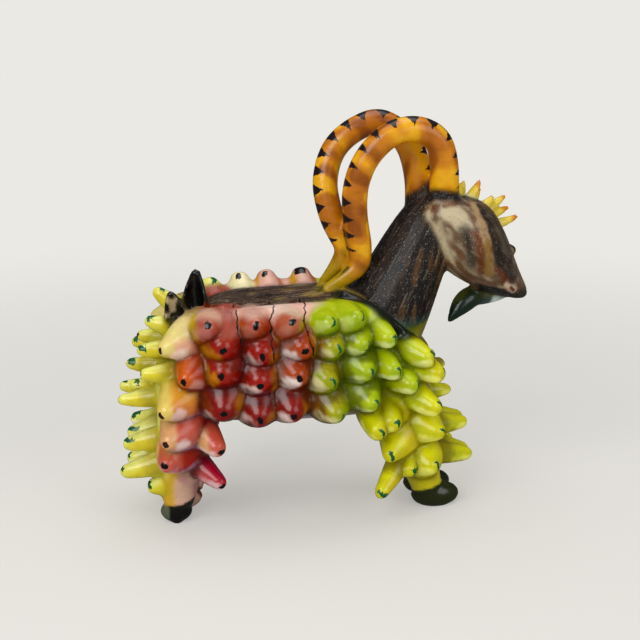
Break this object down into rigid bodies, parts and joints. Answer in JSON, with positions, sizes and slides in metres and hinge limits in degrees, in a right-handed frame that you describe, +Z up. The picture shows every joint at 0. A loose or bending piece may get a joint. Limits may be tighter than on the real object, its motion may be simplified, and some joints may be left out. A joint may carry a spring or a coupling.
{
  "type": "goat figurine",
  "caption": "Standing glazed ceramic goat covered in finger-like tufts, with long horns that arch back to the withers and a head turned to one side.",
  "frame": {"origin": "middle of the goat's outline seen from above, on the table it stands on", "axes": "+X the way the body faces, +Y to the goat's left side, +Z up"},
  "size_m": [0.2672, 0.105, 0.2453],
  "materials": {
    "glazed_body": "thick gloss glaze, hand painted in yellow, green, red and brown"
  },
  "bodies": {
    "root": {"goat": "glazed_body"}
  },
  "joints": []
}
